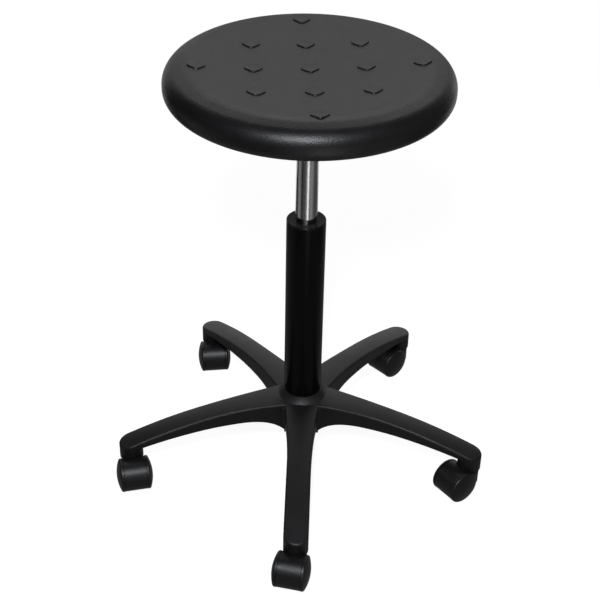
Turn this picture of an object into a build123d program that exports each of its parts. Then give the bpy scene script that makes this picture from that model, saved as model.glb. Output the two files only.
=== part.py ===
from build123d import *

import os
from math import cos, radians, sin, sqrt, tan

# Rolling stool: dished foam seat on a gas lift, five-star base, twin-wheel casters.
# Millimetres. Origin on the floor under the column, +Z up, one arm towards the front, -Y.

# Fits
running_fit = 0.05
seated_fit = 0.03
loose_gap = 0.4

# Arms in turn from the front: heading of the arm and of its caster's axle at rest, in degrees
ARMS = {
    "front": (-90.0, -11.0),
    "right": (-18.0, -51.0),
    "rear_right": (54.0, -45.0),
    "rear_left": (126.0, 9.0),
    "left": (198.0, 15.0),
}

# Caster wheels
wheel_diameter = 45.0
tread_width = 3.6
tread_edge = 2.6
dome_depth = 5.0
wheel_boss_diameter = 13.0
wheel_boss_length = 6.5
axle_diameter = 6.0
axle_length = 40.0

# Caster hoods
caster_trail = 23.5
hood_width = 30.0
hood_step = 0.25
hood_wall = 2.6
hood_web = 9.0
hood_floor_gap = 5.0
hood_edge = 0.4
horn_diameter = 28.6
horn_foot_height = 12.0
horn_edge = 2.0

# Caster stems
stem_diameter = 11.0
stem_insert_length = 21.0
stem_foot_length = 15.0
stem_collar_diameter = 17.0
stem_collar_thickness = 1.6
grip_groove_depth = 1.0
grip_ring_height = 3.0
grip_ring_split = 2.0

# Five-star base
stem_circle_radius = 238.5
socket_lift = 12.5
caster_socket_diameter = 31.0
socket_lip = 1.6
socket_lip_inset = 0.8
socket_bore_depth = 22.0
arm_width = 31.6
arm_root_width = 43.0
arm_root_radius = 40.0
arm_waist_radius = 140.0
arm_top_height = 95.5
arm_drop = 33.0
arm_crown = 2.2
arm_edge = 3.2
skirt_end_depth = 8.0
skirt_gain = 0.09
skirt_flare = 11.0
skirt_flare_radius = 70.0
arm_roof = 4.0
arm_skin = 3.6
arm_rib = 3.0
arm_rib_count = 4
arm_steps = 8
hub_wall_diameter = 84.0
hub_wall_foot = 61.0
hub_boss_diameter = 58.0
hub_boss_foot = 46.0
hub_mouth_height = 106.3
hub_mouth_rim = 1.6

# Column tube and its guide bush
tube_diameter = 50.0
tube_wall = 2.0
tube_foot = 48.0
tube_foot_diameter = 46.8
tube_top = 368.6
tube_end_plate = 3.0
bush_length = 105.0
bush_flange = 2.4
bush_flange_edge = 0.8
bush_funnel = 1.2

# Thrust bearing and lower stop inside the tube
race_diameter = 26.0
race_thickness = 2.0
ball_diameter = 4.0
ball_count = 10
ball_circle_diameter = 18.0
cage_thickness = 2.0
washer_diameter = 25.0
washer_thickness = 1.5
buffer_diameter = 24.0
buffer_height = 14.0
clip_diameter = 17.0
clip_thickness = 1.5

# Gas lift
cylinder_diameter = 28.0
cylinder_wall = 1.4
taper_angle = 1.4383
travel_down = 104.0
travel_up = 96.0
stop_gap = 1.0
rod_diameter = 10.0
rod_tail = 2.4
rod_guide_length = 14.0
rod_seal_length = 4.0
piston_length = 16.0
piston_seal_width = 3.0
piston_seal_depth = 2.0
valve_length = 46.0
valve_diameter = 22.0
release_pin_diameter = 6.0
release_pin_length = 42.0
release_pin_stand = 6.0
release_pin_tip = 1.6

# Seat
seat_diameter = 343.0
seat_underside = 539.5
seat_thickness = 33.5
dish_depth = 7.5
crest_diameter = 284.0
crest_edge = 32.0
shoulder_drop = 8.0
seat_edge_radius = 20.0
seat_foot_radius = 15.0
nub_pitch = 65.5
nub_reach = 2
nub_side = 18.5
nub_corner = 3.0
nub_height = 1.5
nub_root = 3.0
nub_grid_heading = 6.0
board_diameter = 240.0
board_thickness = 12.0

# Seat plate and its screws
plate_width = 170.0
plate_corner = 18.0
plate_sheet = 3.0
pan_width = 104.0
pan_depth = 24.0
pan_corner = 10.0
socket_length = 31.5
socket_diameter = 39.0
cylinder_stand = 2.0
screw_pitch = 140.0
screw_diameter = 6.0
screw_head_diameter = 12.0
screw_head_height = 4.0
nut_barrel_diameter = 8.0
nut_barrel_length = 9.0
nut_flange_diameter = 19.0
nut_flange_thickness = 1.5

# Height lever
lever_heading = 40.0
lever_bar_width = 12.0
lever_bar_thickness = 6.0
lever_bar_tip = 8.0
lever_pivot_reach = 36.0
lever_boss_diameter = 11.0
lever_pin_diameter = 5.0
lever_pin_stand = 1.0
lever_ear_thickness = 3.0
lever_ear_width = 14.0
lever_rod_diameter = 8.0
lever_bend_start = 84.0
lever_bend_run = 24.0
lever_bend_drop = 14.0
lever_bend_radius = 14.0
lever_reach = 150.0
lever_slot_margin = 3.0
paddle_length = 43.0
paddle_width = 26.0
paddle_thickness = 10.0
paddle_edge = 4.0
paddle_cover = 6.0

# Levels and radii that follow
wheel_radius = wheel_diameter / 2
hood_radius = wheel_radius - hood_step
wheel_start = hood_width / 2 + loose_gap
socket_foot = wheel_radius + socket_lift
horn_top = socket_foot - stem_collar_thickness - loose_gap
tube_radius = tube_diameter / 2
tube_bore = tube_radius - tube_wall
bush_top = tube_top + bush_flange
race_floor = tube_foot + tube_end_plate
ball_floor = race_floor + race_thickness
upper_race_floor = ball_floor + ball_diameter
washer_floor = upper_race_floor + race_thickness
buffer_floor = washer_floor + washer_thickness
buffer_top = buffer_floor + buffer_height
cylinder_radius = cylinder_diameter / 2
cylinder_bore = cylinder_radius - cylinder_wall
cylinder_foot = buffer_top + stop_gap + travel_down
pan_floor = seat_underside - pan_depth + plate_sheet
taper_foot = pan_floor - plate_sheet - socket_length
cylinder_top = pan_floor + cylinder_stand
seal_floor = cylinder_foot + rod_guide_length
piston_floor = seal_floor + rod_seal_length + travel_up + stop_gap
piston_top = piston_floor + piston_length
valve_floor = cylinder_top - valve_length
release_pin_top = cylinder_top + release_pin_stand
lever_level = release_pin_top + loose_gap + lever_bar_thickness / 2
seat_radius = seat_diameter / 2
dish_floor = seat_underside + seat_thickness
crest_radius = crest_diameter / 2
dish_radius = (crest_radius**2 + dish_depth**2) / (2 * dish_depth)
paddle_level = lever_level - lever_bend_drop


def turned(corners):
    """Solid turned about Z from (radius, height) corners."""
    outline = Polyline(*corners, close=True)
    return revolve(Plane.XZ * make_face(outline), Axis.Z)


def ring(outer, inner, foot, height):
    """Plain ring or, with no inner radius, a plain disc."""
    top = foot + height
    return turned([(inner, foot), (outer, foot), (outer, top), (inner, top)])


def block(length, width, height, centre):
    """Rectangular block standing about a centre point."""
    return Pos(*centre) * Box(length, width, height)


def along_x(solid):
    """Lays a piece turned about Z along +X."""
    return Rot(0, 90, 0) * solid


def caster_place(arm):
    """Place of an arm's caster on the floor, with its axle turned to its heading at rest."""
    heading, axle_heading = ARMS[arm]
    x = stem_circle_radius * cos(radians(heading))
    y = stem_circle_radius * sin(radians(heading))
    return Pos(x, y, 0) * Rot(0, 0, axle_heading)


# Caster pieces, with the swivel axis on Z, the axle along X and the trail towards -Y

def caster_wheel(side):
    """Domed wheel on one side of the hood, with a boss that runs on the axle."""
    tread_end = wheel_start + tread_width
    dome_end = tread_end + dome_depth
    boss_start = wheel_start - wheel_boss_length
    bore_end = axle_length / 2 + loose_gap
    bore = axle_diameter / 2 + running_fit
    boss = wheel_boss_diameter / 2
    face = make_face([
        Polyline((0, dome_end), (0, bore_end), (bore, bore_end), (bore, boss_start), (boss, boss_start),
                 (boss, wheel_start), (wheel_radius, wheel_start), (wheel_radius, tread_end)),
        TangentArc((0, dome_end), (wheel_radius, tread_end), tangent=(1, 0)),
    ])
    rim = face.vertices().group_by(Axis.X)[-1].sort_by(Axis.Y)[-1]
    wheel = revolve(Plane.XZ * fillet(rim, tread_edge), Axis.Z)
    turn = Rot(0, 90 * side, 0)
    return Pos(0, -caster_trail, wheel_radius) * turn * wheel


def caster_axle():
    """Steel pin through the hood's web, with a wheel on each end."""
    pin = Cylinder(axle_diameter / 2, axle_length)
    return Pos(0, -caster_trail, wheel_radius) * along_x(pin)


def caster_hood():
    """Moulded hood between the wheels, with the horn that swivels on the stem."""
    drum = along_x(Cylinder(hood_radius, hood_width))
    drum = fillet(drum.edges().filter_by(GeomType.CIRCLE), hood_edge)
    cavity_length = (hood_width - hood_web) / 2 - hood_wall
    cavity_middle = hood_web / 2 + cavity_length / 2
    chamber = along_x(Cylinder(hood_radius - hood_wall, cavity_length))
    horn = ring(horn_diameter / 2, 0, horn_foot_height, horn_top - horn_foot_height)
    horn = fillet(horn.edges().filter_by(GeomType.CIRCLE).sort_by(Axis.Z)[0], horn_edge)
    hood = Pos(0, -caster_trail, wheel_radius) * drum
    for side in (-1, 1):
        hood -= Pos(side * cavity_middle, -caster_trail, wheel_radius) * chamber
    hood += horn
    hood -= block(2 * hood_width, 2 * wheel_diameter, 2 * hood_floor_gap, (0, -caster_trail, 0))
    scoop = arm_width / 2 + loose_gap
    hood -= ring(scoop, 0, horn_top, wheel_diameter)
    boss_hole = along_x(Cylinder(wheel_boss_diameter / 2 + loose_gap, 2 * wheel_boss_length))
    for side in (-1, 1):
        hood -= Pos(side * hood_width / 2, -caster_trail, wheel_radius) * boss_hole
    axle_hole = along_x(Cylinder(axle_diameter / 2 + seated_fit, hood_width))
    hood -= Pos(0, -caster_trail, wheel_radius) * axle_hole
    stem_hole = stem_diameter / 2 + running_fit
    hood -= ring(stem_hole, 0, horn_top - stem_foot_length, 2 * stem_foot_length)
    return hood


def caster_stem():
    """Steel stem with a collar under the socket and a groove for the grip ring."""
    radius = stem_diameter / 2
    foot = horn_top - stem_foot_length + loose_gap
    collar_foot = socket_foot - stem_collar_thickness
    top = socket_foot + stem_insert_length
    stem = ring(radius, 0, foot, top - foot)
    stem += ring(stem_collar_diameter / 2, 0, collar_foot, stem_collar_thickness)
    groove_foot = top - 2 * grip_ring_height
    stem -= ring(radius, radius - grip_groove_depth, groove_foot, grip_ring_height)
    return stem


def stem_grip_ring():
    """Split spring ring in the stem's groove."""
    radius = stem_diameter / 2
    foot = socket_foot + stem_insert_length - 2 * grip_ring_height
    wire = ring(radius + seated_fit, radius - grip_groove_depth + seated_fit,
                foot + seated_fit, grip_ring_height - 2 * seated_fit)
    return wire - block(stem_diameter, grip_ring_split, stem_diameter, (radius, 0, foot))


# Five-star base

def crease_height(radius):
    """Height of an arm's upper edges: an even curve that falls from the hub to the socket."""
    share = (radius - arm_root_radius) / (stem_circle_radius - arm_root_radius)
    return arm_top_height - arm_drop * share * abs(share)


def skirt_depth(radius):
    """Depth of an arm's side below its upper edge, deepest where it meets the hub."""
    flare_share = max(0.0, skirt_flare_radius - radius) / (skirt_flare_radius - arm_root_radius)
    return skirt_end_depth + skirt_gain * (stem_circle_radius - radius) + skirt_flare * flare_share**2


def half_width(radius):
    """Half of an arm's width, which draws in from the root to the waist."""
    share = max(0.0, arm_waist_radius - radius) / (arm_waist_radius - arm_root_radius)
    return (arm_width + (arm_root_width - arm_width) * share**2) / 2


def arm_plan(start):
    """Outline of an arm from above: sides that draw in to the waist, then a full round end."""
    end = stem_circle_radius
    radii = [start + (arm_waist_radius - start) * step / arm_steps for step in range(arm_steps + 1)]
    near = [(radius, -half_width(radius)) for radius in radii]
    far = [(x, -y) for x, y in reversed(near)]
    tip = arm_width / 2
    return make_face([
        Spline(*near),
        Line(near[-1], (end, -tip)),
        ThreePointArc((end, -tip), (end + tip, 0), (end, tip)),
        Line((end, tip), far[0]),
        Spline(*far),
        Line(far[-1], near[0]),
    ])


def arm_crest(radius):
    """Crowned section of the space under an arm's top, wider than the arm."""
    wide = half_width(radius) + arm_edge
    top = crease_height(radius) + arm_crown
    bow = (half_width(radius)**2 + arm_crown**2) / (2 * arm_crown)
    side = top - bow + sqrt(bow**2 - wide**2)
    plane = Plane((radius, 0, 0), x_dir=(0, 1, 0), z_dir=(1, 0, 0))
    return plane * make_face([
        ThreePointArc((wide, side), (0, top), (-wide, side)),
        Polyline((-wide, side), (-wide, 0), (wide, 0), (wide, side)),
    ])


def arm_cavity():
    """Hollow under an arm, split by cross ribs."""
    start = hub_wall_diameter / 2 + arm_skin
    end = stem_circle_radius - arm_width / 2 - arm_skin
    faces = []
    for step in range(arm_rib_count + 1):
        radius = start + (end - start) * step / arm_rib_count
        wide = 2 * (half_width(radius) - arm_skin)
        roof = crease_height(radius) - arm_roof
        plane = Plane((radius, 0, roof / 2), x_dir=(0, 1, 0), z_dir=(1, 0, 0))
        faces.append(plane * Rectangle(wide, roof))
    hollow = loft(faces)
    for step in range(1, arm_rib_count):
        radius = start + (end - start) * step / arm_rib_count
        hollow -= block(arm_rib, arm_root_width, arm_top_height, (radius, 0, arm_top_height / 2))
    return hollow


def base_arm():
    """One arm along +X with its caster socket."""
    inner = tube_radius
    beyond = stem_circle_radius + arm_width
    stations = [inner + (beyond - inner) * step / arm_steps for step in range(arm_steps + 1)]
    arm = loft([arm_crest(radius) for radius in stations])
    lip_top = socket_foot + socket_lip
    arm &= Pos(0, 0, lip_top) * extrude(arm_plan(inner), arm_top_height)
    edges = arm.faces().sort_by(Axis.Z)[-1].edges()
    arm = fillet(edges - edges.group_by(Axis.X)[0], arm_edge)
    stations = [inner + (stem_circle_radius - inner) * step / arm_steps for step in range(arm_steps + 1)]
    underside = [(radius, crease_height(radius) - skirt_depth(radius)) for radius in stations]
    space = make_face([Spline(*underside),
                       Polyline(underside[-1], (stem_circle_radius, 0), (inner, 0), underside[0])])
    space = extrude(Plane.XZ * space, arm_root_width, both=True)
    place = Pos(stem_circle_radius, 0, 0)
    arm -= space - place * ring(caster_socket_diameter / 2, 0, 0, arm_top_height)
    lip = caster_socket_diameter / 2 - socket_lip_inset
    return arm + place * ring(lip, 0, socket_foot, 2 * socket_lip)


def hub():
    """Turned hub that carries the column's tapered foot."""
    wall = hub_wall_diameter / 2
    boss = hub_boss_diameter / 2
    lip = tube_radius + hub_mouth_rim
    corners = [
        Polyline((0, hub_boss_foot), (boss, hub_boss_foot), (boss, hub_wall_foot - (wall - boss) / 2),
                 (wall, hub_wall_foot), (wall, arm_top_height - arm_edge)),
        ThreePointArc((wall, arm_top_height - arm_edge),
                      ((wall + lip) / 2 - hub_mouth_rim, (arm_top_height + hub_mouth_height) / 2 - arm_edge),
                      (lip, hub_mouth_height)),
        Polyline((lip, hub_mouth_height), (0, hub_mouth_height), (0, hub_boss_foot)),
    ]
    return revolve(Plane.XZ * make_face(corners), Axis.Z)


def tube_outside(fit):
    """Outline of the column tube: tapered where it sits in the hub, straight above."""
    foot = tube_foot_diameter / 2 + fit
    side = tube_radius + fit
    return [(foot, tube_foot), (side, hub_mouth_height), (side, tube_top)]


def star_base():
    """Moulded base: hub, five hollow arms and their caster sockets."""
    arm = base_arm()
    cavity = arm_cavity()
    base = hub()
    for heading, _ in ARMS.values():
        base += Rot(0, 0, heading) * arm
    for heading, _ in ARMS.values():
        base -= Rot(0, 0, heading) * cavity
    base -= turned([(0, tube_foot), *tube_outside(seated_fit), (0, tube_top)])
    base -= ring(tube_foot_diameter / 2 + seated_fit, 0, 0, tube_foot)
    stem_hole = ring(stem_diameter / 2 + seated_fit, 0, socket_foot, socket_bore_depth)
    for heading, _ in ARMS.values():
        base -= Rot(0, 0, heading) * Pos(stem_circle_radius, 0, 0) * stem_hole
    return base


# Column

def outer_tube():
    """Steel tube with a tapered foot and a welded end plate."""
    foot = tube_foot_diameter / 2 - tube_wall
    hole = rod_diameter / 2 + loose_gap
    return turned([(hole, tube_foot), *tube_outside(0), (tube_bore, tube_top),
                   (tube_bore, hub_mouth_height), (foot, race_floor), (hole, race_floor)])


def guide_bush():
    """Plastic bush in the tube's mouth that guides the cylinder."""
    inside = cylinder_radius + running_fit
    outside = tube_bore - seated_fit
    foot = tube_top - bush_length
    return turned([(inside, foot), (outside, foot), (outside, tube_top), (tube_radius, tube_top),
                   (tube_radius, bush_top - bush_flange_edge), (tube_radius - bush_flange_edge, bush_top),
                   (inside, bush_top - bush_funnel)])


def bearing_balls():
    """Loose balls between the two races."""
    circle = ball_circle_diameter / 2
    height = ball_floor + ball_diameter / 2
    ball = Sphere(ball_diameter / 2 - seated_fit)
    return [Rot(0, 0, 360 * step / ball_count) * Pos(circle, 0, height) * ball for step in range(ball_count)]


def bearing_cage():
    """Flat ring that spaces the balls."""
    foot = ball_floor + (ball_diameter - cage_thickness) / 2
    cage = ring(race_diameter / 2 - loose_gap, rod_diameter / 2 + loose_gap, foot, cage_thickness)
    pocket = Cylinder(ball_diameter / 2 + running_fit, ball_diameter)
    for step in range(ball_count):
        cage -= Rot(0, 0, 360 * step / ball_count) * Pos(
            ball_circle_diameter / 2, 0, ball_floor + ball_diameter / 2) * pocket
    return cage


# Gas lift

def cylinder_outside(fit):
    """Radius of the cylinder at its top, where the standard taper ends."""
    return cylinder_radius - (cylinder_top - taper_foot) * tan(radians(taper_angle)) + fit


def gas_cylinder():
    """Polished pressure tube with a tapered head for the seat plate."""
    valve_bore = valve_diameter / 2 + seated_fit
    return turned([(cylinder_bore, cylinder_foot), (cylinder_radius, cylinder_foot),
                   (cylinder_radius, taper_foot), (cylinder_outside(0), cylinder_top),
                   (valve_bore, cylinder_top), (valve_bore, valve_floor), (cylinder_bore, valve_floor)])


def rod_guide():
    """Gland that closes the cylinder's foot round the piston rod."""
    return ring(cylinder_bore - seated_fit, rod_diameter / 2 + running_fit, cylinder_foot, rod_guide_length)


def rod_seal():
    """Lip seal above the gland."""
    return ring(cylinder_bore - seated_fit, rod_diameter / 2 + running_fit, seal_floor, rod_seal_length)


def valve_body():
    """Release valve in the cylinder's head, with a blind bore for the pin."""
    body = ring(valve_diameter / 2, 0, valve_floor, valve_length)
    pin_room = release_pin_length + stop_gap
    bore = ring(release_pin_diameter / 2 + running_fit, 0, cylinder_top - pin_room, pin_room)
    return body - bore


def release_pin():
    """Valve pin with a domed tip under the lever."""
    radius = release_pin_diameter / 2
    foot = release_pin_top - release_pin_length
    shoulder = release_pin_top - release_pin_tip
    face = make_face([
        Polyline((0, release_pin_top), (0, foot), (radius, foot), (radius, shoulder)),
        TangentArc((0, release_pin_top), (radius, shoulder), tangent=(1, 0)),
    ])
    return revolve(Plane.XZ * face, Axis.Z)


def piston_rod():
    """Rod fixed to the tube's foot, with a groove for the retaining clip."""
    radius = rod_diameter / 2
    clip_foot = tube_foot - loose_gap - clip_thickness
    rod = ring(radius, 0, clip_foot - rod_tail, piston_top - clip_foot + rod_tail)
    return rod - ring(radius, radius - grip_groove_depth, clip_foot, clip_thickness)


def retaining_clip():
    """Open clip under the tube's end plate."""
    inner = rod_diameter / 2 - grip_groove_depth + seated_fit
    foot = tube_foot - loose_gap - clip_thickness + seated_fit
    clip = ring(clip_diameter / 2, inner, foot, clip_thickness - 2 * seated_fit)
    return clip - block(clip_diameter, 2 * inner, clip_diameter, (clip_diameter / 2, 0, foot))


def piston_head():
    """Piston with a groove for its seal."""
    outside = cylinder_bore - running_fit
    head = ring(outside, rod_diameter / 2 + seated_fit, piston_floor, piston_length)
    groove_foot = piston_floor + (piston_length - piston_seal_width) / 2
    return head - ring(cylinder_bore, outside - piston_seal_depth, groove_foot, piston_seal_width)


def piston_seal():
    """Rubber ring in the piston's groove."""
    outside = cylinder_bore - running_fit
    foot = piston_floor + (piston_length - piston_seal_width) / 2 + seated_fit
    return ring(outside, outside - piston_seal_depth + seated_fit, foot, piston_seal_width - 2 * seated_fit)


# Seat

def dish_height(radius):
    """Height of the dished top at a radius."""
    return dish_floor + dish_radius - sqrt(dish_radius**2 - radius**2)


def seat_nubs():
    """Raised diamonds on a square grid, each square to the dish under it."""
    nubs = []
    for row in range(-nub_reach, nub_reach + 1):
        for column in range(-nub_reach, nub_reach + 1):
            if abs(row) + abs(column) > nub_reach:
                continue
            spot = Vector(column * nub_pitch, row * nub_pitch, 0).rotate(Axis.Z, nub_grid_heading)
            height = dish_height(spot.length)
            centre = Vector(0, 0, dish_floor + dish_radius)
            origin = Vector(spot.X, spot.Y, height)
            heading = radians(nub_grid_heading + 45)
            plane = Plane(origin, x_dir=(cos(heading), sin(heading), 0), z_dir=centre - origin)
            face = plane.offset(-nub_root) * RectangleRounded(nub_side, nub_side, nub_corner)
            nubs.append(extrude(face, nub_root + nub_height))
    return nubs


def seat_pad():
    """Foam cushion: dish up to a soft crest, rolled rim drawn in below, raised nubs, recess for the board."""
    crest_top = dish_floor + dish_depth
    crest = (crest_radius, crest_top)
    shoulder = (seat_radius, crest_top - shoulder_drop)
    foot = (seat_radius, seat_underside)
    face = make_face([
        TangentArc((0, dish_floor), crest, tangent=(1, 0)),
        Polyline(crest, shoulder, foot, (0, seat_underside), (0, dish_floor)),
    ])
    for corner, radius in ((crest, crest_edge), (shoulder, seat_edge_radius), (foot, seat_foot_radius)):
        face = fillet(face.vertices().sort_by_distance(corner)[0], radius)
    pad = revolve(Plane.XZ * face, Axis.Z)
    for nub in seat_nubs():
        pad += nub
    recess = board_thickness + loose_gap
    return pad - ring(board_diameter / 2 + loose_gap, 0, seat_underside, recess)


def screw_places():
    """Four screw positions on the seat plate, in the lever's frame."""
    half = screw_pitch / 2
    return [Pos(x, y, 0) for x in (-half, half) for y in (-half, half)]


def seat_board():
    """Round insert board moulded into the foam, counterbored for the tee nuts."""
    board = ring(board_diameter / 2, 0, seat_underside, board_thickness)
    top = seat_underside + board_thickness
    barrel = nut_barrel_diameter / 2 + seated_fit
    flange = nut_flange_diameter / 2 + seated_fit
    for place in screw_places():
        board -= place * ring(barrel, 0, seat_underside, board_thickness)
        board -= place * ring(flange, 0, top - nut_flange_thickness, nut_flange_thickness)
    return board


def tee_nut():
    """Flanged nut pressed into the board from above."""
    top = seat_underside + board_thickness
    hole = screw_diameter / 2 + seated_fit
    nut = ring(nut_flange_diameter / 2, hole, top - nut_flange_thickness, nut_flange_thickness)
    return nut + ring(nut_barrel_diameter / 2, hole, top - nut_barrel_length, nut_barrel_length)


def seat_screw():
    """Hexagon screw up through the plate into the tee nut."""
    head_top = seat_underside - plate_sheet
    length = plate_sheet + board_thickness
    shank = ring(screw_diameter / 2, 0, head_top, length)
    head = extrude(RegularPolygon(screw_head_diameter / 2, 6), screw_head_height)
    return shank + Pos(0, 0, head_top - screw_head_height) * head


def seat_plate():
    """Pressed plate: flange under the board, pan for the lever, taper socket and lever ears."""
    flange = Pos(0, 0, seat_underside - plate_sheet) * extrude(
        RectangleRounded(plate_width, plate_width, plate_corner), plate_sheet)
    pan = Pos(0, 0, seat_underside - pan_depth) * extrude(
        RectangleRounded(pan_width, pan_width, pan_corner), pan_depth)
    inside = pan_width - 2 * plate_sheet
    hollow = Pos(0, 0, pan_floor) * extrude(
        RectangleRounded(inside, inside, pan_corner - plate_sheet), pan_depth)
    socket = ring(socket_diameter / 2, 0, taper_foot, socket_length + plate_sheet)
    plate = flange + pan - hollow + socket
    plate -= turned([(0, taper_foot), (cylinder_radius + seated_fit, taper_foot),
                     (cylinder_outside(seated_fit), cylinder_top), (0, cylinder_top)])
    slot_width = lever_rod_diameter + 2 * lever_slot_margin
    slot_foot = lever_level - lever_rod_diameter / 2 - lever_slot_margin
    slot_height = seat_underside - slot_foot
    slot_start = pan_width / 2 - pan_corner
    slot_length = plate_width / 2 + pan_corner - slot_start
    plate -= block(slot_length, slot_width, slot_height,
                   (slot_start + slot_length / 2, 0, slot_foot + slot_height / 2))
    hole = ring(screw_diameter / 2 + loose_gap, 0, seat_underside - plate_sheet, plate_sheet)
    for place in screw_places():
        plate -= place * hole
    ear_top = lever_level + lever_boss_diameter / 2
    ear_height = ear_top - pan_floor
    pin_hole = Pos(lever_pivot_reach, 0, lever_level) * Rot(90, 0, 0) * Cylinder(
        lever_pin_diameter / 2 + seated_fit, pan_width / 2)
    for side in (-1, 1):
        place = side * (lever_bar_width / 2 + loose_gap + lever_ear_thickness / 2)
        ear = block(lever_ear_width, lever_ear_thickness, ear_height,
                    (lever_pivot_reach, place, pan_floor + ear_height / 2))
        plate += ear
    return plate - pin_hole


def lever_pivot_pin():
    """Pin through the two ears and the lever's boss."""
    length = lever_bar_width + 2 * (loose_gap + lever_ear_thickness + lever_pin_stand)
    return Pos(lever_pivot_reach, 0, lever_level) * Rot(90, 0, 0) * Cylinder(lever_pin_diameter / 2, length)


def release_lever():
    """Steel lever: bar over the valve pin, pivot boss, bent rod out to the paddle."""
    bar_end = pan_width / 2 - plate_sheet - loose_gap
    bar_length = bar_end + lever_bar_tip
    bar = block(bar_length, lever_bar_width, lever_bar_thickness,
                (bar_end - bar_length / 2, 0, lever_level))
    pivot = Pos(lever_pivot_reach, 0, lever_level) * Rot(90, 0, 0)
    bar += pivot * Cylinder(lever_boss_diameter / 2, lever_bar_width)
    bend_end = lever_bend_start + lever_bend_run
    path = FilletPolyline((bar_end - lever_bar_thickness, 0, lever_level), (lever_bend_start, 0, lever_level),
                          (bend_end, 0, paddle_level), (lever_reach, 0, paddle_level),
                          radius=lever_bend_radius)
    section = Plane(path @ 0, z_dir=path % 0) * Circle(lever_rod_diameter / 2)
    lever = bar + sweep(section, path)
    return lever - pivot * Cylinder(lever_pin_diameter / 2 + running_fit, pan_width)


def lever_paddle():
    """Moulded grip on the lever's outer end."""
    end = lever_reach + paddle_cover
    grip = block(paddle_length, paddle_width, paddle_thickness, (end - paddle_length / 2, 0, paddle_level))
    grip = fillet(grip.edges(), paddle_edge)
    hole = along_x(Cylinder(lever_rod_diameter / 2 + seated_fit, paddle_length))
    return grip - Pos(lever_reach + seated_fit - paddle_length / 2, 0, paddle_level) * hole


# Every piece in its place

NODES = {}
for arm in ARMS:
    place = caster_place(arm)
    NODES[f"{arm}_caster_stem"] = place * caster_stem()
    NODES[f"{arm}_caster_hood"] = place * caster_hood()
    NODES[f"{arm}_caster_axle"] = place * caster_axle()
    NODES[f"{arm}_caster_wheel_a"] = place * caster_wheel(-1)
    NODES[f"{arm}_caster_wheel_b"] = place * caster_wheel(1)
NODES["stem_grip_rings"] = Compound(children=[caster_place(arm) * stem_grip_ring() for arm in ARMS])

NODES["star_base"] = star_base()
NODES["outer_tube"] = outer_tube()
NODES["guide_bush"] = guide_bush()

rod_clearance = rod_diameter / 2 + loose_gap
rod_seat = rod_diameter / 2 + seated_fit
NODES["bearing_lower_race"] = ring(race_diameter / 2, rod_clearance, race_floor, race_thickness)
NODES["bearing_balls"] = Compound(children=bearing_balls())
NODES["bearing_cage"] = bearing_cage()
NODES["bearing_upper_race"] = ring(race_diameter / 2, rod_seat, upper_race_floor, race_thickness)
NODES["thrust_washer"] = ring(washer_diameter / 2, rod_seat, washer_floor, washer_thickness)
NODES["rubber_buffer"] = ring(buffer_diameter / 2, rod_seat, buffer_floor, buffer_height)
NODES["retaining_clip"] = retaining_clip()
NODES["piston_rod"] = piston_rod()
NODES["piston_head"] = piston_head()
NODES["piston_seal"] = piston_seal()

NODES["gas_cylinder"] = gas_cylinder()
NODES["rod_guide"] = rod_guide()
NODES["rod_seal"] = rod_seal()
NODES["valve_body"] = valve_body()
NODES["release_pin"] = release_pin()

lever_place = Rot(0, 0, lever_heading)
NODES["seat_pad"] = seat_pad()
NODES["seat_board"] = lever_place * seat_board()
NODES["tee_nuts"] = Compound(children=[lever_place * place * tee_nut() for place in screw_places()])
NODES["seat_screws"] = Compound(children=[lever_place * place * seat_screw() for place in screw_places()])
NODES["seat_plate"] = lever_place * seat_plate()
NODES["lever_pivot_pin"] = lever_place * lever_pivot_pin()
NODES["release_lever"] = lever_place * release_lever()
NODES["lever_paddle"] = lever_place * lever_paddle()

os.makedirs("parts", exist_ok=True)
for name, solid in NODES.items():
    export_step(solid, f"parts/{name}.step")
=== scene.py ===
"""Looks of a rolling stool: moulded foam seat, polished gas lift, black column, star base on twin-wheel casters."""

import math

import bmesh
import bpy
from bpy.props import FloatProperty, FloatVectorProperty, IntProperty, PointerProperty
from mathutils import Matrix, Vector


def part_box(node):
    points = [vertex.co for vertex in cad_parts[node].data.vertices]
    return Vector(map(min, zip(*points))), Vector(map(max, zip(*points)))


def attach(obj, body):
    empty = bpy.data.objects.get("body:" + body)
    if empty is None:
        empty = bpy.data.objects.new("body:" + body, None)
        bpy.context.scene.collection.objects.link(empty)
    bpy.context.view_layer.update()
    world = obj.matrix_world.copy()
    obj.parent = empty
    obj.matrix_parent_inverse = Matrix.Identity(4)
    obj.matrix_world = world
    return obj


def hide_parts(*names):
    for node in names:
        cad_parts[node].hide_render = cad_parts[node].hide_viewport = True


bl_info = {
    "name": "Rolling stool",
    "version": (1, 0, 0),
    "blender": (4, 5, 0),
    "location": "View3D > Sidebar > Stool",
    "description": "Dresses the frame of a rolling stool and sets up its studio",
    "category": "Object",
}

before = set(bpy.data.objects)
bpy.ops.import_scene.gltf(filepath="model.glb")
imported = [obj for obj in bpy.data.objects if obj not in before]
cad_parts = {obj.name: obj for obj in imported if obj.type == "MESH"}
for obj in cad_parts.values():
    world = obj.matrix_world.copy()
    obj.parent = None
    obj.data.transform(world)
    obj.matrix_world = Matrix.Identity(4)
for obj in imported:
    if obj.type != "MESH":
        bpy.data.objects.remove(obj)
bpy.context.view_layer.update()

MM = 0.001
PIXELS = 600
UP = Vector((0, 0, 1))
SQUARE = (-1, -1), (1, -1), (1, 1), (-1, 1)
PAD_LOW, PAD_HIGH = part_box("seat_pad")
BOARD_LOW, BOARD_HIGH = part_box("seat_board")
CASTER_NODES = ("front", "right", "rear_right", "rear_left", "left")

# Cushion: gap round the board, segments of a turn and of each rounded corner
RECESS_GAP = 0.4 * MM
TURN_SEGMENTS = 160
CORNER_STEPS = 20

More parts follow.
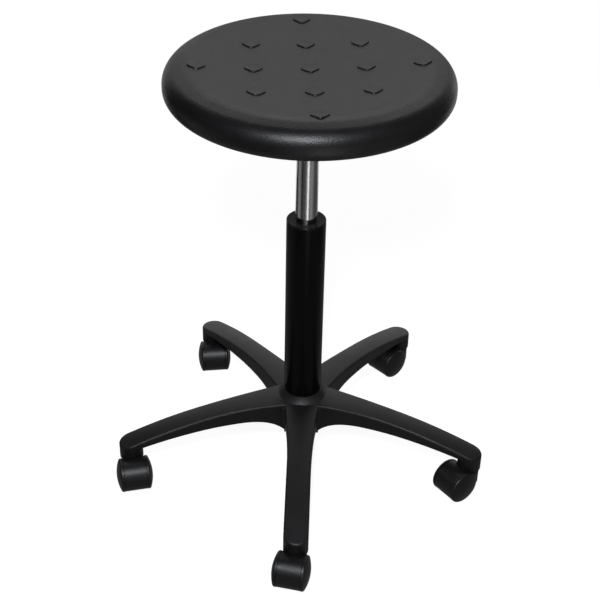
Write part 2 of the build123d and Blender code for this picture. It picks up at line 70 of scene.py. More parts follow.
# Diamonds: depth of their roots in the cushion, rounding of their edges
DIAMOND_ROOT = 2.5 * MM
DIAMOND_EDGE = 1.3 * MM
EDGE_SEGMENTS = 3

# Lamps: place, point they face, width and height
BACK_SOFTBOX = (0.1, 1.9, 2.3), (0, 0, 0.5), (2.0, 1.3)
FLASH = (-0.08, -1.29, 1.57), (0, -0.17, 0.57), (0.22, 0.3)
SIDE_SOFTBOX = (1.9, -0.5, 1.2), (0, 0, 0.35), (0.9, 1.4)
FLASH_COLOUR = (0.93, 0.95, 1.0)

# World and floor: light that surfaces share, brightness where they are seen, half of the floor's width
SHARED_LIGHT = 0.08
SEEN_WORLD = 0.95
SEEN_FLOOR = 0.93
FLOOR_HALF = 12

# Rings of glowing grey cards round the stool, seen only in reflections, where they paint light and dark streaks:
# reach, foot and head, then each card's headings, from and to, and its grey.
# Headings are in degrees to the right of the camera.
CARD_RINGS = (
    (0.6, 0.0, 0.5, ((-128, -98, 0.015), (-98, -76, 0.25), (-76, -58, 0.16), (-58, -42, 0.0), (-42, -10, 0.07),
                     (-10, 6, 0.21), (6, 18, 1.86), (18, 36, 0.16), (36, 60, 0.26), (60, 72, 0.14), (72, 125, 0.07))),
    (0.6, 0.5, 0.9, ((-128, -42, 0.03), (-42, 36, 0.09), (36, 125, 0.08))),
    (0.3, 0.42, 0.6, ((125, 150, 0.3), (150, 210, 0.25), (210, 240, 0.5))),
    (1.2, 0.6, 1.35, ((140, 220, 0.45),)),
    (0.9, 0.62, 1.8, ((-128, -30, 0.02), (30, 135, 0.06))),
)

# Flat glowing cards over and under the stool, seen only in reflections: a dark ceiling overhead, and under the stool a
# painted shade of the floor: half width, height, grey
FLAT_CARDS = ((0.9, 1.8, 0.0), (0.6, 0.001, 0.2))


# Colour, nodes and meshes

def linear(code):
    """Linear colour of an sRGB hex value such as "#2a2a2b"."""
    levels = [int(code[i:i + 2], 16) / 255 for i in (1, 3, 5)]
    return [v / 12.92 if v <= 0.04045 else ((v + 0.055) / 1.055) ** 2.4 for v in levels] + [1.0]


def add(tree, kind, inputs=None, **settings):
    """Adds a node with its settings, and fills its inputs with values or links."""
    node = tree.nodes.new(kind)
    for name, value in settings.items():
        setattr(node, name, value)
    for socket, value in (inputs or {}).items():
        if isinstance(value, bpy.types.NodeSocket):
            tree.links.new(value, node.inputs[socket])
        else:
            node.inputs[socket].default_value = value
    return node


def new_material(name):
    """Empty node material with its tree and the object's own coordinates."""
    material = bpy.data.materials.new(name)
    material.use_nodes = True
    tree = material.node_tree
    tree.nodes.clear()
    place = add(tree, "ShaderNodeTexCoord").outputs["Object"]
    return material, tree, place


def finish_material(tree, shader):
    """Links the shader to the material's output."""
    add(tree, "ShaderNodeOutputMaterial", {"Surface": shader.outputs["BSDF"]})


def per_mm(size):
    """Scale of a texture whose features are about this many millimetres wide."""
    return 1 / (size * MM)


def new_piece(name, mesh, body, material):
    """Object at the origin that rides on a body and wears a material."""
    piece = bpy.data.objects.new(name, mesh)
    bpy.context.scene.collection.objects.link(piece)
    mesh.materials.clear()
    mesh.materials.append(material)
    for face in mesh.polygons:
        face.use_smooth = True
    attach(piece, body)
    return piece


def dress(material, *nodes):
    """Gives CAD nodes a material."""
    for name in nodes:
        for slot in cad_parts[name].material_slots:
            slot.material = material


# What a user would change

class StoolSeat(bpy.types.PropertyGroup):
    """Sizes of the foam seat and its raised diamonds."""

    rim_radius: FloatProperty(
        name="Rim radius", description="Outer radius of the seat", unit="LENGTH",
        default=(PAD_HIGH.x - PAD_LOW.x) / 2)
    underside: FloatProperty(
        name="Underside", description="Height of the seat's flat underside", unit="LENGTH", default=PAD_LOW.z)
    dish_floor: FloatProperty(
        name="Dish floor", description="Height of the top at its middle", unit="LENGTH",
        default=PAD_LOW.z + 33.5 * MM)
    dish_depth: FloatProperty(
        name="Dish depth", description="Height of the crest over the middle", unit="LENGTH", default=7.5 * MM)
    crest_radius: FloatProperty(
        name="Crest radius", description="Radius where the dish meets the rolled rim", unit="LENGTH",
        default=142 * MM)
    crest_round: FloatProperty(
        name="Crest rounding", description="Radius of the soft crest", unit="LENGTH", default=42 * MM)
    shoulder_drop: FloatProperty(
        name="Shoulder drop", description="Fall of the rim from the crest to the side", unit="LENGTH", default=8 * MM)
    shoulder_round: FloatProperty(
        name="Shoulder rounding", description="Radius that rolls the rim over", unit="LENGTH", default=20 * MM)
    foot_round: FloatProperty(
        name="Foot rounding", description="Radius that draws the rim in below", unit="LENGTH", default=14.5 * MM)
    nub_pitch: FloatProperty(
        name="Diamond pitch", description="Spacing of the raised diamonds", unit="LENGTH", default=65.5 * MM)
    nub_side: FloatProperty(
        name="Diamond side", description="Side of a raised diamond", unit="LENGTH", default=18.5 * MM)
    nub_corner: FloatProperty(
        name="Diamond corner", description="Radius of a diamond's corners", unit="LENGTH", default=5 * MM)
    nub_height: FloatProperty(
        name="Diamond height", description="Height of a raised diamond", unit="LENGTH", default=1.5 * MM)
    nub_reach: IntProperty(
        name="Diamond rows", description="Rows of diamonds on each side of the middle", default=2)
    nub_heading: FloatProperty(
        name="Diamond heading", description="Turn of the grid about the column", subtype="ANGLE",
        default=math.radians(6))


class StoolColours(bpy.types.PropertyGroup):
    """Colours of the finishes."""

    foam: FloatVectorProperty(
        name="Foam skin", description="Skin of the seat", subtype="COLOR", size=4, default=linear("#0e0e0f"))
    nylon: FloatVectorProperty(
        name="Base nylon", description="Star base", subtype="COLOR", size=4, default=linear("#101011"))
    caster: FloatVectorProperty(
        name="Caster nylon", description="Hoods and wheels", subtype="COLOR", size=4, default=linear("#101011"))
    paint: FloatVectorProperty(
        name="Column paint", description="Gloss coat of the column", subtype="COLOR", size=4,
        default=linear("#070708"))
    chrome: FloatVectorProperty(
        name="Chrome", description="Polished cylinder", subtype="COLOR", size=4, default=linear("#d0d0d2"))


class StoolStudio(bpy.types.PropertyGroup):
    """Camera and light."""

    camera_place: FloatVectorProperty(
        name="Camera", description="Place of the camera", subtype="TRANSLATION", unit="LENGTH",
        default=(0.0200, -1.3549, 1.18905))
    camera_down: FloatProperty(
        name="Camera pitch", description="How far the camera looks down", subtype="ANGLE",
        default=math.radians(34.79))
    camera_yaw: FloatProperty(
        name="Camera yaw", description="Turn of the camera to the right", subtype="ANGLE",
        default=math.radians(-1.09))
    camera_roll: FloatProperty(
        name="Camera roll", description="Turn of the camera about its own axis", subtype="ANGLE",
        default=math.radians(1.23))
    focal_pixels: FloatProperty(
        name="Focal length in pixels", description="Focal length in widths of a picture element", default=1268.28)
    back_power: FloatProperty(
        name="Back softbox", description="Power of the large lamp behind the stool", unit="POWER", default=13)
    flash_power: FloatProperty(
        name="Flash", description="Power of the small lamp over the camera", unit="POWER", default=27)
    side_power: FloatProperty(
        name="Side softbox", description="Power of the lamp at the right", unit="POWER", default=1.5)


# Finishes

def integral_skin_foam(colour):
    """Polyurethane moulded with its own skin: soft sheen, a fine pebbled grain, patches a little more polished."""
    material, tree, place = new_material("integral skin polyurethane")
    pebbles = add(tree, "ShaderNodeTexVoronoi", {"Vector": place, "Scale": per_mm(1.5), "Randomness": 0.9})
    patches = add(tree, "ShaderNodeTexNoise", {"Vector": place, "Scale": per_mm(45), "Detail": 4.0})
    tone = add(tree, "ShaderNodeMapRange", {"Value": patches.outputs["Fac"], "From Min": 0.3, "From Max": 0.7,
                                            "To Min": 0.9, "To Max": 1.12})
    shade = add(tree, "ShaderNodeVectorMath", {0: tuple(colour)[:3], "Scale": tone.outputs["Result"]},
                operation="SCALE")
    rough = add(tree, "ShaderNodeMapRange", {"Value": patches.outputs["Fac"], "From Min": 0.3, "From Max": 0.7,
                                             "To Min": 0.36, "To Max": 0.44})
    grain = add(tree, "ShaderNodeBump", {"Height": pebbles.outputs["Distance"], "Strength": 0.4,
                                         "Distance": 0.4 * MM})
    finish_material(tree, add(tree, "ShaderNodeBsdfPrincipled", {
        "Base Color": shade.outputs["Vector"], "Roughness": rough.outputs["Result"], "Normal": grain.outputs["Normal"],
        "IOR": 1.5, "Specular IOR Level": 0.4}))
    return material


def filled_nylon(name, colour, grit, rough, level):
    """Glass-filled nylon from a spark-eroded mould: dull, with a fine even grit and faint flow marks."""
    material, tree, place = new_material(name)
    fine = add(tree, "ShaderNodeTexNoise", {"Vector": place, "Scale": per_mm(grit), "Detail": 3.0})
    flow = add(tree, "ShaderNodeTexNoise", {"Vector": place, "Scale": per_mm(30), "Detail": 3.0, "Distortion": 0.6})
    tone = add(tree, "ShaderNodeMapRange", {"Value": flow.outputs["Fac"], "From Min": 0.3, "From Max": 0.7,
                                            "To Min": 0.88, "To Max": 1.14})
    shade = add(tree, "ShaderNodeVectorMath", {0: tuple(colour)[:3], "Scale": tone.outputs["Result"]},
                operation="SCALE")
    gloss = add(tree, "ShaderNodeMapRange", {"Value": flow.outputs["Fac"], "From Min": 0.3, "From Max": 0.7,
                                             "To Min": rough[0], "To Max": rough[1]})
    grain = add(tree, "ShaderNodeBump", {"Height": fine.outputs["Fac"], "Strength": 0.3, "Distance": 0.15 * MM})
    finish_material(tree, add(tree, "ShaderNodeBsdfPrincipled", {
        "Base Color": shade.outputs["Vector"], "Roughness": gloss.outputs["Result"], "Normal": grain.outputs["Normal"],
        "IOR": 1.53, "Specular IOR Level": level}))
    return material


def coated_steel(name, colour, rough, level):
    """Powder-coated steel: an even film with the faint waves of a baked coat."""
    material, tree, place = new_material(name)
    peel = add(tree, "ShaderNodeTexNoise", {"Vector": place, "Scale": per_mm(2.5), "Detail": 2.0})
    cloud = add(tree, "ShaderNodeTexNoise", {"Vector": place, "Scale": per_mm(60), "Detail": 3.0})
    tone = add(tree, "ShaderNodeMapRange", {"Value": cloud.outputs["Fac"], "To Min": 0.85, "To Max": 1.15})
    shade = add(tree, "ShaderNodeVectorMath", {0: tuple(colour)[:3], "Scale": tone.outputs["Result"]},
                operation="SCALE")
    gloss = add(tree, "ShaderNodeMapRange", {"Value": cloud.outputs["Fac"], "To Min": rough, "To Max": rough + 0.08})
    waves = add(tree, "ShaderNodeBump", {"Height": peel.outputs["Fac"], "Strength": 0.12, "Distance": 0.1 * MM})
    finish_material(tree, add(tree, "ShaderNodeBsdfPrincipled", {
        "Base Color": shade.outputs["Vector"], "Roughness": gloss.outputs["Result"], "Normal": waves.outputs["Normal"],
        "IOR": 1.5, "Specular IOR Level": level}))
    return material


def ground_chrome(colour):
    """Chromed steel ground round its axis: the fine lines draw each light out into an upright streak."""
    material, tree, place = new_material("ground hard chrome")
    lines = add(tree, "ShaderNodeMapping", {"Vector": place, "Scale": (1.0, 1.0, 40.0)})
    grind = add(tree, "ShaderNodeTexNoise", {"Vector": lines.outputs["Vector"], "Scale": per_mm(30), "Detail": 3.0})
    rough = add(tree, "ShaderNodeMapRange", {"Value": grind.outputs["Fac"], "To Min": 0.12, "To Max": 0.2})
    turn = add(tree, "ShaderNodeTangent", direction_type="RADIAL", axis="Z")
    finish_material(tree, add(tree, "ShaderNodeBsdfPrincipled", {
        "Base Color": tuple(colour), "Metallic": 1.0, "Roughness": rough.outputs["Result"], "Anisotropic": 0.85,
        "Tangent": turn.outputs["Tangent"]}))
    return material


def zinc_plate():
    """Bright zinc on turned steel: pale grey with a soft mottle."""
    material, tree, place = new_material("zinc plated steel")
    mottle = add(tree, "ShaderNodeTexVoronoi", {"Vector": place, "Scale": per_mm(2.2)})
    tint = add(tree, "ShaderNodeMix", {"Factor": mottle.outputs["Distance"], "A": linear("#b9bab8"),
                                       "B": linear("#8e908f")}, data_type="RGBA")
    rough = add(tree, "ShaderNodeMapRange", {"Value": mottle.outputs["Distance"], "To Min": 0.28, "To Max": 0.42})
    finish_material(tree, add(tree, "ShaderNodeBsdfPrincipled", {
        "Base Color": tint.outputs["Result"], "Metallic": 1.0, "Roughness": rough.outputs["Result"]}))
    return material


def birch_plywood():
    """Raw birch plywood: thin plies at the edge, long pale grain on the faces."""
    material, tree, place = new_material("birch plywood")
    plies = add(tree, "ShaderNodeTexWave", {"Vector": place, "Scale": per_mm(3) / 20, "Distortion": 0.3},
                bands_direction="Z")
    along = add(tree, "ShaderNodeMapping", {"Vector": place, "Scale": (1.0, 12.0, 12.0)})
    grain = add(tree, "ShaderNodeTexNoise", {"Vector": along.outputs["Vector"], "Scale": per_mm(60), "Detail": 6.0})
    ply = add(tree, "ShaderNodeMix", {"Factor": plies.outputs["Fac"], "A": linear("#c79f6e"),
                                      "B": linear("#a97f50")}, data_type="RGBA")
    wood = add(tree, "ShaderNodeMix", {"Factor": grain.outputs["Fac"], "A": ply.outputs["Result"],
                                       "B": linear("#8f6a41")}, data_type="RGBA")
    fibres = add(tree, "ShaderNodeBump", {"Height": grain.outputs["Fac"], "Strength": 0.2, "Distance": 0.2 * MM})
    finish_material(tree, add(tree, "ShaderNodeBsdfPrincipled", {
        "Base Color": wood.outputs["Result"], "Roughness": 0.68, "Normal": fibres.outputs["Normal"]}))
    return material


def moulded_rubber():
    """Black nitrile rubber: very dull, with a dusty bloom."""
    material, tree, place = new_material("nitrile rubber")
    bloom = add(tree, "ShaderNodeTexNoise", {"Vector": place, "Scale": per_mm(8), "Detail": 5.0})
    tint = add(tree, "ShaderNodeMix", {"Factor": bloom.outputs["Fac"], "A": linear("#141414"),
                                       "B": linear("#242424")}, data_type="RGBA")
    finish_material(tree, add(tree, "ShaderNodeBsdfPrincipled", {
        "Base Color": tint.outputs["Result"], "Roughness": 0.8, "Specular IOR Level": 0.3}))
    return material


# Shapes

def rounded(corners, steps):
    """Outline through corners given as radius, height and rounding; the first and last only give directions."""
    points = []
    for before, here, after in zip(corners, corners[1:], corners[2:]):
        spot = Vector(here[:2])
        back = (Vector(before[:2]) - spot).normalized()
        onward = (Vector(after[:2]) - spot).normalized()
        half = back.angle(onward) / 2
        middle = spot + (back + onward).normalized() * here[2] / math.sin(half)
        arm = spot + back * here[2] / math.tan(half) - middle
        turn = math.copysign(math.pi - 2 * half, onward.cross(back))
        points += [middle + Matrix.Rotation(turn * step / steps, 2) @ arm for step in range(steps + 1)]
    return points


def seat_outline(seat):
    """Half section of the cushion from the middle of its top, round the rim, to the middle of the board's recess."""
    crest = seat.dish_floor + seat.dish_depth
    shares = [step / CORNER_STEPS for step in range(1, CORNER_STEPS - 1)]
    dish = [(seat.crest_radius * share, seat.dish_floor + seat.dish_depth * share ** 2) for share in shares]
    recess = (BOARD_HIGH.x - BOARD_LOW.x) / 2 + RECESS_GAP
    rim = rounded([dish[-1], (seat.crest_radius, crest, seat.crest_round),
                   (seat.rim_radius, crest - seat.shoulder_drop, seat.shoulder_round),
                   (seat.rim_radius, seat.underside, seat.foot_round), (recess, seat.underside)], CORNER_STEPS)
    return dish + rim + [(recess, seat.underside), (recess, BOARD_HIGH.z + RECESS_GAP)]


def turned_mesh(name, outline, top, floor, segments):
    """Closed mesh turned about Z from an outline that starts and ends off the axis."""
    shape = bmesh.new()
    rings = []
    for radius, height in outline:
        rings.append([shape.verts.new((radius * math.cos(math.tau * i / segments),
                                       radius * math.sin(math.tau * i / segments), height))
                      for i in range(segments)])
    for inner, outer in zip(rings, rings[1:]):
        for i in range(segments):
            shape.faces.new((inner[i - 1], outer[i - 1], outer[i], inner[i]))
    for ring, height in ((rings[0], top), (rings[-1], floor)):
        middle = shape.verts.new((0, 0, height))
        for i in range(segments):
            shape.faces.new((ring[i - 1], ring[i], middle))
    bmesh.ops.recalc_face_normals(shape, faces=shape.faces)
    mesh = bpy.data.meshes.new(name)
    shape.to_mesh(mesh)
    shape.free()
    return mesh


def diamond_tree(material):
    """Geometry Nodes tree that sets soft-cornered diamonds square on a dish, on a square grid cut to a lozenge."""
    tree = bpy.data.node_groups.new("Seat diamonds", "GeometryNodeTree")
    for name, kind in (("Pitch", "NodeSocketFloat"), ("Reach", "NodeSocketInt"), ("Side", "NodeSocketFloat"),
                       ("Height", "NodeSocketFloat"), ("Root", "NodeSocketFloat"), ("Corner", "NodeSocketFloat"),
                       ("Dish Floor", "NodeSocketFloat"), ("Dish Curve", "NodeSocketFloat"),
                       ("Heading", "NodeSocketFloat")):
        tree.interface.new_socket(name, in_out="INPUT", socket_type=kind)
    tree.interface.new_socket("Geometry", in_out="OUTPUT", socket_type="NodeSocketGeometry")
    given = add(tree, "NodeGroupInput").outputs

    def maths(operation, first, second=0.0):
        return add(tree, "ShaderNodeMath", {0: first, 1: second}, operation=operation).outputs["Value"]

    steps = maths("MULTIPLY", given["Reach"], 2.0)
    count = maths("ADD", steps, 1.0)
    width = maths("MULTIPLY", steps, given["Pitch"])
    grid = add(tree, "GeometryNodeMeshGrid", {"Size X": width, "Size Y": width, "Vertices X": count,
                                              "Vertices Y": count})
    spot = add(tree, "ShaderNodeSeparateXYZ", {"Vector": add(tree, "GeometryNodeInputPosition").outputs[0]}).outputs
    far = maths("ADD", maths("ABSOLUTE", spot["X"]), maths("ABSOLUTE", spot["Y"]))
    limit = maths("MULTIPLY", maths("ADD", given["Reach"], 0.5), given["Pitch"])
    kept = add(tree, "GeometryNodeDeleteGeometry", {"Geometry": grid.outputs["Mesh"],
                                                    "Selection": maths("GREATER_THAN", far, limit)})
    spread = maths("ADD", maths("MULTIPLY", spot["X"], spot["X"]), maths("MULTIPLY", spot["Y"], spot["Y"]))
    height = maths("ADD", given["Dish Floor"], maths("MULTIPLY", spread, given["Dish Curve"]))
    seated = add(tree, "GeometryNodeSetPosition", {"Geometry": kept.outputs["Geometry"], "Position": add(
        tree, "ShaderNodeCombineXYZ", {"X": spot["X"], "Y": spot["Y"], "Z": height}).outputs[0]})
    lean = maths("MULTIPLY", given["Dish Curve"], -2.0)
    normal = add(tree, "ShaderNodeCombineXYZ", {"X": maths("MULTIPLY", spot["X"], lean),
                                                "Y": maths("MULTIPLY", spot["Y"], lean), "Z": 1.0})
    stand = add(tree, "FunctionNodeAlignRotationToVector", {"Vector": normal.outputs[0]}, axis="Z")
    square = add(tree, "GeometryNodeCurvePrimitiveQuadrilateral", {"Width": given["Side"], "Height": given["Side"]})
    soft = add(tree, "GeometryNodeFilletCurve", {
        "Curve": square.outputs["Curve"], "Radius": given["Corner"], "Count": 4}, mode="POLY")
    foot = add(tree, "GeometryNodeFillCurve", {"Curve": soft.outputs["Curve"]}, mode="NGONS").outputs["Mesh"]
    tall = maths("ADD", given["Height"], given["Root"])
    raised = add(tree, "GeometryNodeExtrudeMesh", {"Mesh": foot, "Offset Scale": tall}, mode="FACES")
    closed = add(tree, "GeometryNodeJoinGeometry", {"Geometry": raised.outputs["Mesh"]})
    tree.links.new(add(tree, "GeometryNodeFlipFaces", {"Mesh": foot}).outputs["Mesh"], closed.inputs["Geometry"])
    whole = add(tree, "GeometryNodeMergeByDistance", {"Geometry": closed.outputs["Geometry"], "Distance": 0.01 * MM})
    sunk = add(tree, "GeometryNodeTransform", {
        "Geometry": whole.outputs["Geometry"],
        "Translation": add(tree, "ShaderNodeCombineXYZ", {"Z": maths("MULTIPLY", given["Root"], -1.0)}).outputs[0],
        "Rotation": add(tree, "FunctionNodeEulerToRotation", {0: (0, 0, math.pi / 4)}).outputs[0]})
    placed = add(tree, "GeometryNodeInstanceOnPoints", {
        "Points": seated.outputs["Geometry"], "Instance": sunk.outputs["Geometry"],
        "Rotation": stand.outputs["Rotation"]})
    turned = add(tree, "GeometryNodeTransform", {
        "Geometry": add(tree, "GeometryNodeRealizeInstances", {"Geometry": placed.outputs["Instances"]}).outputs[0],
        "Rotation": add(tree, "FunctionNodeEulerToRotation", {"Euler": add(
            tree, "ShaderNodeCombineXYZ", {"Z": given["Heading"]}).outputs[0]}).outputs[0]})
    painted = add(tree, "GeometryNodeSetMaterial", {"Geometry": turned.outputs["Geometry"], "Material": material})
    add(tree, "NodeGroupOutput", {"Geometry": painted.outputs["Geometry"]})
    return tree


def grown_mesh(name, tree, values):
    """Plain mesh from a Geometry Nodes tree with its inputs set."""
    holder = bpy.data.objects.new(name, bpy.data.meshes.new(name))
    bpy.context.scene.collection.objects.link(holder)
    modifier = holder.modifiers.new("Grow", "NODES")
    modifier.node_group = tree
    for item in tree.interface.items_tree:
        if item.in_out == "INPUT":
            modifier[item.identifier] = values[item.name]
    graph = bpy.context.evaluated_depsgraph_get()
    mesh = bpy.data.meshes.new_from_object(holder.evaluated_get(graph))
    mesh.name = name
    bpy.data.objects.remove(holder)
    return mesh


# Operators

class STOOL_OT_seat(bpy.types.Operator):
    """Builds the foam cushion with its raised diamonds in place of the plain pad"""

    bl_idname = "stool.seat"
    bl_label = "Foam seat"

    def execute(self, context):
        seat = context.scene.stool_seat
        skin = integral_skin_foam(context.scene.stool_colours.foam)
        mesh = turned_mesh("seat_cushion", seat_outline(seat), seat.dish_floor, BOARD_HIGH.z + RECESS_GAP,
                           TURN_SEGMENTS)
        cushion = new_piece("seat_cushion", mesh, "seat", skin)
        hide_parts("seat_pad")
        nubs = grown_mesh("seat_diamonds", diamond_tree(skin), {
            "Pitch": seat.nub_pitch, "Reach": seat.nub_reach, "Side": seat.nub_side, "Height": seat.nub_height,
            "Root": DIAMOND_ROOT, "Corner": seat.nub_corner, "Dish Floor": seat.dish_floor,
            "Dish Curve": seat.dish_depth / seat.crest_radius ** 2, "Heading": seat.nub_heading})
        diamonds = new_piece("seat_diamonds", nubs, "seat", skin)
        edge = diamonds.modifiers.new("Rounded edges", "BEVEL")
        edge.width = DIAMOND_EDGE
        edge.segments = EDGE_SEGMENTS
        return {"FINISHED"}


class STOOL_OT_seat_fittings(bpy.types.Operator):
    """Finishes the board, the seat plate, its fasteners and the height lever"""

    bl_idname = "stool.seat_fittings"
    bl_label = "Seat fittings"

    def execute(self, context):
        dress(birch_plywood(), "seat_board")
        paint = coated_steel("satin black paint", linear("#1b1b1c"), rough=0.42, level=0.4)
        grip = filled_nylon("lever grip polypropylene", linear("#161617"), grit=0.5, rough=(0.4, 0.48), level=0.4)
        dress(paint, "seat_plate", "release_lever")
        dress(zinc_plate(), "tee_nuts", "seat_screws", "lever_pivot_pin", "release_pin")
        dress(grip, "lever_paddle")
        return {"FINISHED"}


class STOOL_OT_column(bpy.types.Operator):
    """Finishes the column tube, the gas lift and what turns inside them"""

    bl_idname = "stool.column"
    bl_label = "Column and gas lift"

    def execute(self, context):
        colours = context.scene.stool_colours
        coat = coated_steel("gloss black powder coat", colours.paint, rough=0.22, level=0.1)
        acetal = coated_steel("black acetal", linear("#0b0b0c"), rough=0.2, level=0.25)
        dress(coat, "outer_tube")
        dress(acetal, "guide_bush", "bearing_cage", "piston_head", "rod_guide", "valve_body")
        dress(ground_chrome(colours.chrome), "gas_cylinder")
        dress(zinc_plate(), "piston_rod", "bearing_lower_race", "bearing_balls", "bearing_upper_race",
              "thrust_washer", "retaining_clip")
        dress(moulded_rubber(), "rubber_buffer", "piston_seal", "rod_seal")
        return {"FINISHED"}


class STOOL_OT_base(bpy.types.Operator):
    """Finishes the moulded star base"""

    bl_idname = "stool.base"
    bl_label = "Star base"

    def execute(self, context):
        colours = context.scene.stool_colours
        nylon = filled_nylon("glass filled nylon", colours.nylon, grit=0.6, rough=(0.46, 0.54), level=0.3)
        dress(nylon, "star_base")
        return {"FINISHED"}


class STOOL_OT_casters(bpy.types.Operator):
    """Finishes the five casters"""

    bl_idname = "stool.casters"
    bl_label = "Casters"

    def execute(self, context):
        colours = context.scene.stool_colours
        nylon = filled_nylon("caster nylon", colours.caster, grit=0.5, rough=(0.36, 0.44), level=0.34)
        steel = zinc_plate()
        for name in CASTER_NODES:
            dress(nylon, f"{name}_caster_hood", f"{name}_caster_wheel_a", f"{name}_caster_wheel_b")
            dress(steel, f"{name}_caster_stem", f"{name}_caster_axle")
        dress(steel, "stem_grip_rings")
        return {"FINISHED"}


def area_lamp(name, place, target, size, power, colour=(1, 1, 1)):
    """Soft lamp that faces a point."""
    data = bpy.data.lights.new(name, "AREA")
    data.shape = "RECTANGLE"
    data.size, data.size_y = size
    data.energy = power
    data.color = colour
    lamp = bpy.data.objects.new(name, data)
    bpy.context.scene.collection.objects.link(lamp)
    facing = (Vector(target) - Vector(place)).to_track_quat("-Z", "Y")
    lamp.matrix_world = Matrix.LocRotScale(Vector(place), facing, None)


def seen_directly(tree):
    """1 where the camera, a reflection or a clear material looks, and 0 for the light that surfaces share."""
    path = add(tree, "ShaderNodeLightPath").outputs
    total = add(tree, "ShaderNodeMath", {0: path["Is Camera Ray"], 1: path["Is Glossy Ray"]}, operation="MAXIMUM")
    return add(tree, "ShaderNodeMath", {0: total.outputs[0], 1: path["Is Transmission Ray"]},
               operation="MAXIMUM").outputs[0]


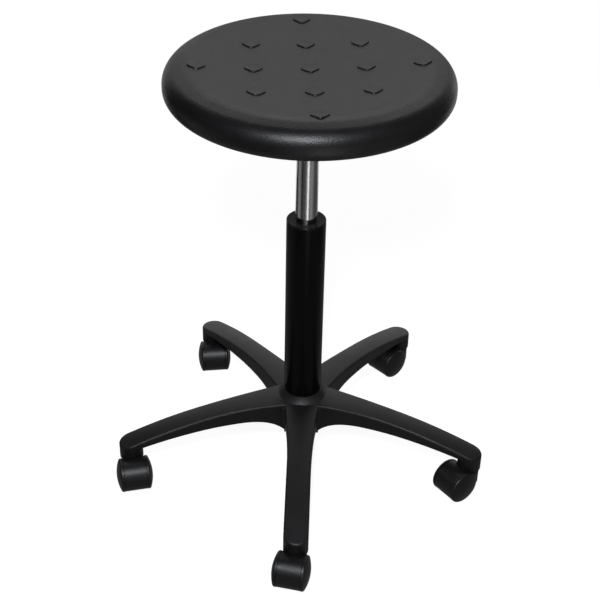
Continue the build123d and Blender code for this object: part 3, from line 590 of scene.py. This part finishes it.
class STOOL_OT_stage(bpy.types.Operator):
    """Sets up the pale floor, the soft lamps and the camera"""

    bl_idname = "stool.stage"
    bl_label = "Studio"

    def execute(self, context):
        scene = context.scene
        studio = scene.stool_studio
        scene.view_settings.view_transform = "Standard"
        self.add_world(scene)
        self.add_floor(scene)
        area_lamp("back softbox", *BACK_SOFTBOX, studio.back_power)
        area_lamp("flash", *FLASH, studio.flash_power, FLASH_COLOUR)
        area_lamp("side softbox", *SIDE_SOFTBOX, studio.side_power)
        self.add_cards(scene)
        self.add_camera(scene, studio)
        return {"FINISHED"}

    def add_world(self, scene):
        """White surroundings, dim for the light that surfaces share."""
        world = bpy.data.worlds.new("Studio")
        world.use_nodes = True
        tree = world.node_tree
        tree.nodes.clear()
        level = add(tree, "ShaderNodeMapRange", {
            "Value": seen_directly(tree), "To Min": SHARED_LIGHT, "To Max": SEEN_WORLD})
        light = add(tree, "ShaderNodeBackground", {"Color": (1, 1, 1, 1), "Strength": level.outputs["Result"]})
        add(tree, "ShaderNodeOutputWorld", {"Surface": light.outputs[0]})
        scene.world = world

    def add_floor(self, scene):
        """Pale floor that keeps the stool's shadow."""
        material, tree, _ = new_material("pale floor")
        matt = add(tree, "ShaderNodeBsdfDiffuse", {"Color": linear("#808080")})
        glow = add(tree, "ShaderNodeMath", {0: seen_directly(tree), 1: SEEN_FLOOR}, operation="MULTIPLY")
        lift = add(tree, "ShaderNodeEmission", {"Color": (1, 1, 1, 1), "Strength": glow.outputs[0]})
        both = add(tree, "ShaderNodeAddShader", {0: matt.outputs[0], 1: lift.outputs[0]})
        add(tree, "ShaderNodeOutputMaterial", {"Surface": both.outputs[0]})
        mesh = bpy.data.meshes.new("floor")
        corners = [(x * FLOOR_HALF, y * FLOOR_HALF, 0) for x, y in SQUARE]
        mesh.from_pydata(corners, [], [(0, 1, 2, 3)])
        mesh.materials.append(material)
        floor = bpy.data.objects.new("floor", mesh)
        scene.collection.objects.link(floor)

    def add_cards(self, scene):
        """Glowing grey cards round the stool that only its polished surfaces see: painted reflections of light and
        dark bands, and of the floor's shade under the stool.
        """
        material, tree, _ = new_material("glowing reflection card")
        level = add(tree, "ShaderNodeAttribute", attribute_name="level")
        glow = add(tree, "ShaderNodeEmission", {"Strength": level.outputs["Fac"]})
        add(tree, "ShaderNodeOutputMaterial", {"Surface": glow.outputs[0]})
        points, faces, levels = [], [], []
        for reach, foot, head, ring in CARD_RINGS:
            for start, end, grey in ring:
                left, right = (Vector((math.sin(math.radians(turn)), -math.cos(math.radians(turn)), 0)) * reach
                               for turn in (start, end))
                points += [left + foot * UP, right + foot * UP, right + head * UP, left + head * UP]
                faces.append(range(len(points) - 4, len(points)))
                levels.append(grey)
        for half, height, grey in FLAT_CARDS:
            points += [Vector((x * half, y * half, height)) for x, y in SQUARE]
            faces.append(range(len(points) - 4, len(points)))
            levels.append(grey)
        mesh = bpy.data.meshes.new("glowing_reflection_cards")
        mesh.from_pydata(points, [], faces)
        mesh.attributes.new("level", "FLOAT", "FACE").data.foreach_set("value", levels)
        mesh.materials.append(material)
        cards = bpy.data.objects.new("glowing_reflection_cards", mesh)
        cards.visible_camera = cards.visible_diffuse = cards.visible_shadow = cards.visible_transmission = False
        scene.collection.objects.link(cards)

    def add_camera(self, scene, studio):
        """Camera with the photo's place, turns and focal length."""
        data = bpy.data.cameras.new("Camera")
        data.sensor_width = 36
        data.lens = studio.focal_pixels * data.sensor_width / PIXELS
        down, yaw = studio.camera_down, studio.camera_yaw
        forward = Vector((math.sin(yaw) * math.cos(down), math.cos(yaw) * math.cos(down), -math.sin(down)))
        right = Vector((math.cos(yaw), -math.sin(yaw), 0))
        upward = right.cross(forward)
        roll = Matrix.Rotation(-studio.camera_roll, 3, forward)
        axes = Matrix((roll @ right, roll @ upward, -forward)).transposed()
        camera = bpy.data.objects.new("Camera", data)
        camera.matrix_world = Matrix.LocRotScale(Vector(studio.camera_place), axes.to_quaternion(), None)
        scene.collection.objects.link(camera)
        scene.camera = camera


class STOOL_PT_sidebar(bpy.types.Panel):
    """Lists the stool's sizes, colours and steps"""

    bl_idname = "STOOL_PT_sidebar"
    bl_label = "Rolling stool"
    bl_space_type = "VIEW_3D"
    bl_region_type = "UI"
    bl_category = "Stool"

    def draw(self, context):
        for group in (context.scene.stool_seat, context.scene.stool_colours, context.scene.stool_studio):
            box = self.layout.box()
            for name in group.__annotations__:
                box.prop(group, name)
        for step in STEPS:
            self.layout.operator(step.bl_idname)


GROUPS = (StoolSeat, StoolColours, StoolStudio)
STEPS = (STOOL_OT_seat, STOOL_OT_seat_fittings, STOOL_OT_column, STOOL_OT_base, STOOL_OT_casters, STOOL_OT_stage)


def register():
    for kind in (*GROUPS, *STEPS, STOOL_PT_sidebar):
        bpy.utils.register_class(kind)
    bpy.types.Scene.stool_seat = PointerProperty(type=StoolSeat)
    bpy.types.Scene.stool_colours = PointerProperty(type=StoolColours)
    bpy.types.Scene.stool_studio = PointerProperty(type=StoolStudio)


def unregister():
    del bpy.types.Scene.stool_studio
    del bpy.types.Scene.stool_colours
    del bpy.types.Scene.stool_seat
    for kind in reversed((*GROUPS, *STEPS, STOOL_PT_sidebar)):
        bpy.utils.unregister_class(kind)


def main():
    register()
    bpy.ops.stool.seat()
    bpy.ops.stool.seat_fittings()
    bpy.ops.stool.column()
    bpy.ops.stool.base()
    bpy.ops.stool.casters()
    bpy.ops.stool.stage()


if __name__ == "__main__":
    main()
